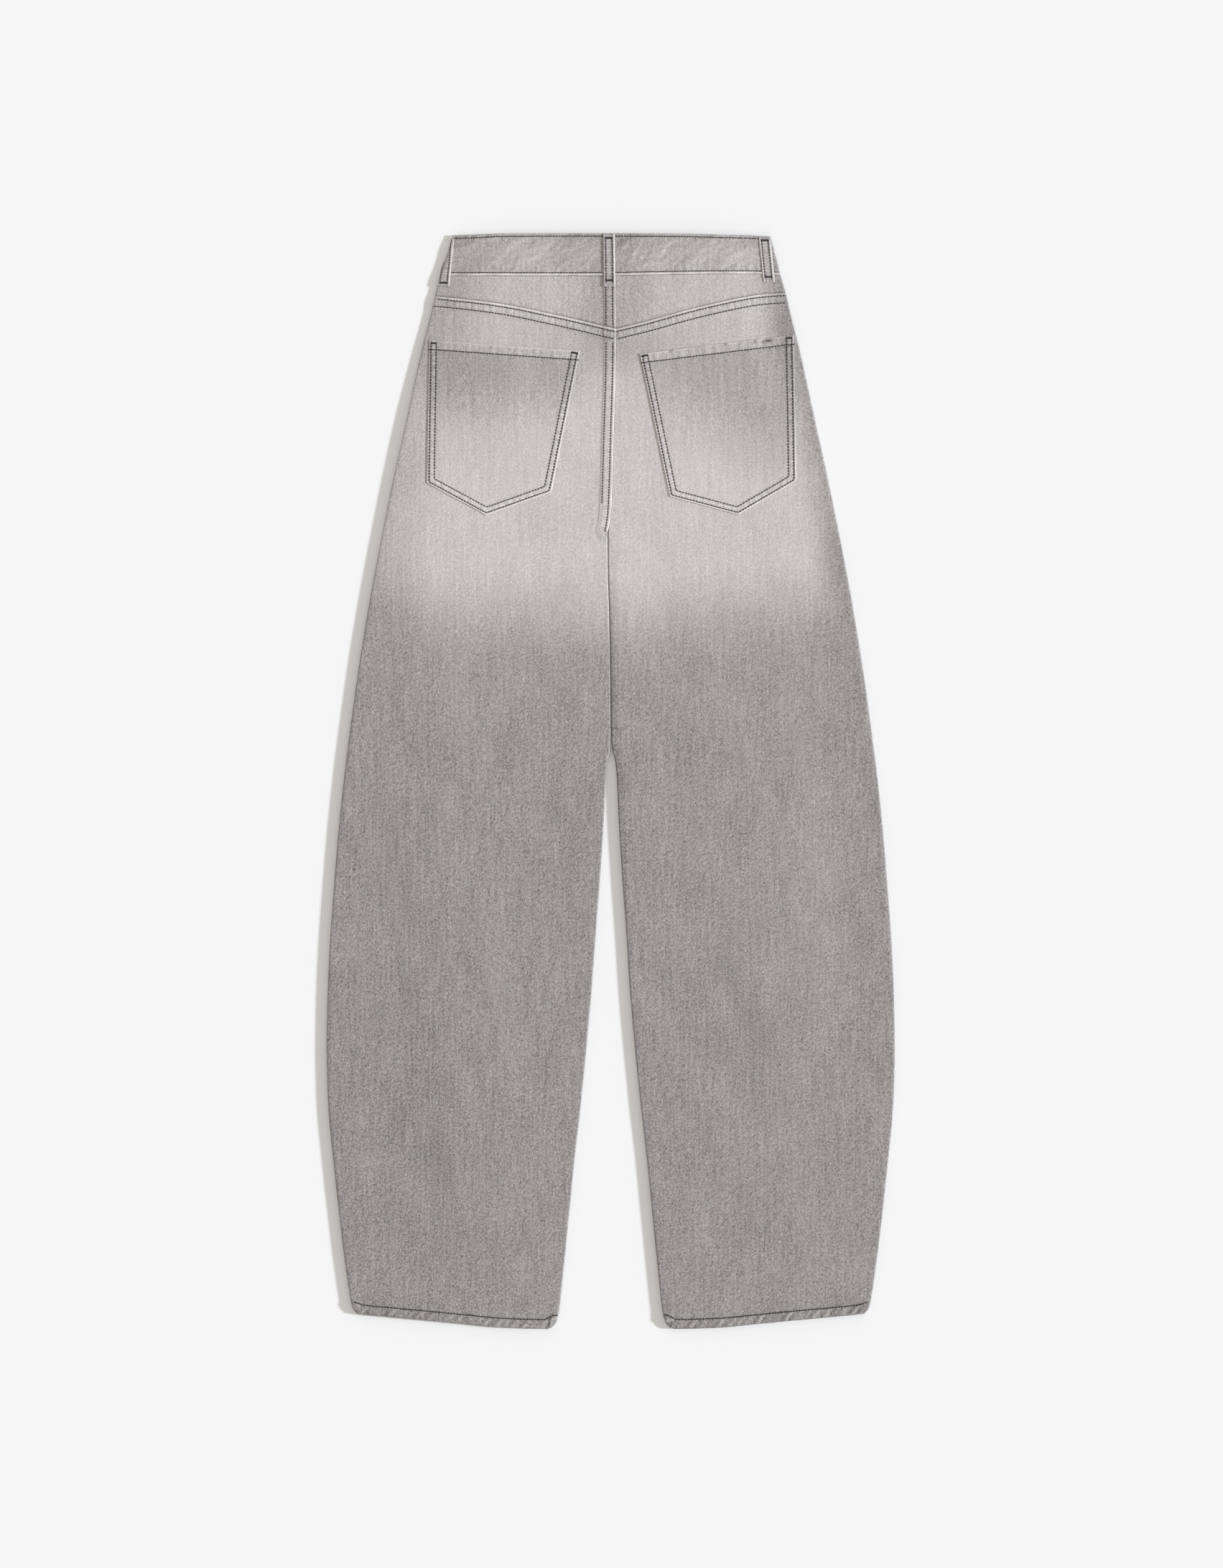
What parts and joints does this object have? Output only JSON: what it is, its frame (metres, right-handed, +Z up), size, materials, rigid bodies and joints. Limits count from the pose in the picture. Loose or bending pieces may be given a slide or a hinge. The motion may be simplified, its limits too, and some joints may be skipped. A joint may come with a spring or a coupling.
{
  "type": "barrel leg trousers",
  "caption": "Washed denim barrel leg trousers laid flat with the back side up: straight waistband, belt loops, back yoke, wide curved legs and pointed patch pockets.",
  "frame": {"origin": "on the surface under the middle of the garment's box", "axes": "+Z up from the surface, +Y towards the waist, +X towards the wearer's right; the back side faces up"},
  "size_m": [0.5618, 1.0836, 0.0102],
  "materials": {
    "denim": "stone-washed grey twill, matt, paler over the seat",
    "thread": "charcoal sewing thread",
    "button_metal": "dark antique satin"
  },
  "bodies": {
    "root": {"back_leg_left": "denim", "back_leg_right": "denim", "front_leg_left": "denim", "front_leg_right": "denim", "yoke_left": "denim", "yoke_right": "denim", "pocket_left": "denim", "pocket_right": "denim", "waistband": "denim", "loop_back_centre": "denim", "loop_back_left": "denim", "loop_back_right": "denim", "loop_front_left": "denim", "loop_front_right": "denim", "button": "button_metal"}
  },
  "joints": []
}
